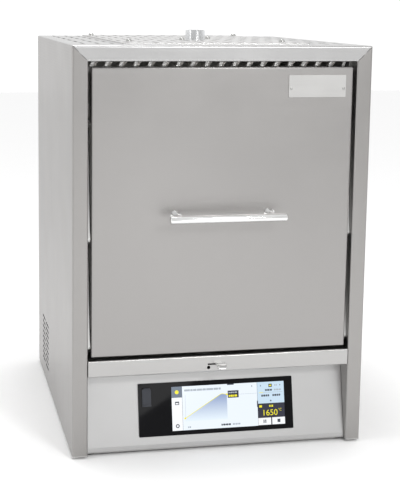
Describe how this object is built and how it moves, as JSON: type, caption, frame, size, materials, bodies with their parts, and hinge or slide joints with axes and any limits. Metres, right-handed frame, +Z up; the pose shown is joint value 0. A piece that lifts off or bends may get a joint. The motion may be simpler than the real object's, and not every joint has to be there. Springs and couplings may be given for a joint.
{
  "type": "bench sintering furnace",
  "caption": "Bench sintering furnace in satin stainless steel, with a lift door on parallel arms, an air inlet lever, a touch display and a rear fan.",
  "frame": {"origin": "middle of the whole outline seen from above, at the level of the floor under the feet", "axes": "+X to the right as seen from the front, +Y to the back, +Z up; the door faces -Y"},
  "size_m": [0.385, 0.4628, 0.5395],
  "materials": {
    "satin_steel": "fine satin stainless sheet",
    "cover_steel": "satin stainless sheet",
    "fascia_steel": "fine satin stainless sheet",
    "door_steel": "fine linen-ground stainless sheet",
    "base_steel": "satin",
    "vent_steel": "satin",
    "screw_steel": "polished heads",
    "bracket_steel": "zinc plated",
    "bright_steel": "ground",
    "arm_steel": "plain milled",
    "liner_steel": "2B sheet, slightly heat-tinted",
    "inner_steel": "zinc plated sheet",
    "stub_steel": "turned, bright",
    "lever_steel": "polished",
    "plate_steel": "satin, bare",
    "polished_steel": "polished",
    "core_steel": "varnished laminations",
    "coil_copper": "varnished copper winding",
    "sink_aluminium": "plain extrusion",
    "clamp_aluminium": "plain",
    "fibre_board": "vacuum-formed fibre, matt",
    "fibre_rope": "plaited fibre rope",
    "alumina": "dense, unglazed",
    "element_ceramic": "silicide, glassy grey",
    "holder_ceramic": "unglazed",
    "black_plastic": "moulded",
    "black_glass": "glossy black front",
    "screen_face": "lit display",
    "socket_plastic": "moulded",
    "cover_rubber": "soft, matt",
    "foot_rubber": "matt",
    "washer_plastic": "plain",
    "board_green": "solder mask",
    "guard_wire": "plated wire",
    "inlet_plastic": "moulded",
    "rocker_plastic": "moulded"
  },
  "bodies": {
    "housing": {"side_panel_right": "satin_steel", "side_panel_left": "satin_steel", "top_cover": "satin_steel", "top_cover_plate": "cover_steel", "casing_screws": "screw_steel", "rear_panel": "satin_steel", "base_plate": "base_steel", "feet": "foot_rubber", "front_rail": "satin_steel", "control_fascia": "fascia_steel", "vent_strip": "vent_steel", "lift_brackets": "bracket_steel", "mouth_frame": "liner_steel", "insulation_floor": "fibre_board", "insulation_roof": "fibre_board", "insulation_sides": "fibre_board", "insulation_rear": "fibre_board", "inner_sheets": "inner_steel", "charging_plate": "alumina", "heating_elements": "element_ceramic", "element_holders": "holder_ceramic", "terminal_clamps": "clamp_aluminium", "terminal_straps": "clamp_aluminium", "thermocouple": "alumina", "exhaust_tube": "alumina", "exhaust_stub": "stub_steel", "divider": "inner_steel", "slide_guides": "inner_steel", "inlet_duct": "inner_steel", "controller_body": "black_plastic", "controller_glass": "black_glass", "screen": "screen_face", "usb_socket": "socket_plastic", "transformer_core": "core_steel", "transformer_coil": "coil_copper", "heat_sink": "sink_aluminium", "power_module": "black_plastic", "control_board": "board_green", "fan_frame": "black_plastic", "fan_guard": "guard_wire", "mains_inlet": "inlet_plastic", "power_switch": "inlet_plastic"},
    "upper_arms": {"upper_lift_arms": "arm_steel", "lift_shaft": "bright_steel"},
    "lower_arms": {"lower_lift_arms": "arm_steel"},
    "door": {"door_skin": "door_steel", "door_liner": "liner_steel", "door_insulation": "fibre_board", "door_plug": "fibre_board", "door_gasket": "fibre_rope", "door_pins": "bright_steel", "friction_washers": "washer_plastic", "handle_bar": "polished_steel", "handle_standoffs": "polished_steel", "blank_plate": "plate_steel", "door_screws": "screw_steel"},
    "inlet_slide": {"inlet_lever": "lever_steel"},
    "socket_cover": {"usb_cover": "cover_rubber"},
    "rotor": {"fan_rotor": "black_plastic"},
    "rocker": {"switch_rocker": "rocker_plastic"}
  },
  "joints": [
    {"name": "door_lift", "type": "hinge", "parent": "housing", "child": "upper_arms", "pos_m": [0, -0.16289, 0.424], "axis": [-1, 0, 0], "range_deg": [0, 118]},
    {"name": "lower_arm_swing", "type": "hinge", "parent": "housing", "child": "lower_arms", "pos_m": [0, -0.16289, 0.285], "axis": [-1, 0, 0], "range_deg": [0, 118]},
    {"name": "door_level", "type": "hinge", "parent": "upper_arms", "child": "door", "pos_m": [0, -0.18243, 0.285], "axis": [-1, 0, 0], "range_deg": [-118, 0]},
    {"name": "inlet_travel", "type": "slide", "parent": "housing", "child": "inlet_slide", "axis": [-1, 0, 0], "range_m": [0, 0.01]},
    {"name": "cover_flip", "type": "hinge", "parent": "housing", "child": "socket_cover", "pos_m": [-0.0938, -0.17915, 0.08221], "axis": [-1, 0, 0], "range_deg": [0, 100]},
    {"name": "fan_spin", "type": "hinge", "parent": "housing", "child": "rotor", "pos_m": [-0.11, 0.21987, 0.062], "axis": [0, 1, 0], "continuous": true},
    {"name": "rocker_tilt", "type": "hinge", "parent": "housing", "child": "rocker", "pos_m": [0.128, 0.22657, 0.084], "axis": [-1, 0, 0], "range_deg": [0, 24]}
  ],
  "couplings": [
    {"joint": "lower_arm_swing", "follows": "door_lift", "ratio": 1},
    {"joint": "door_level", "follows": "door_lift", "ratio": -1}
  ]
}
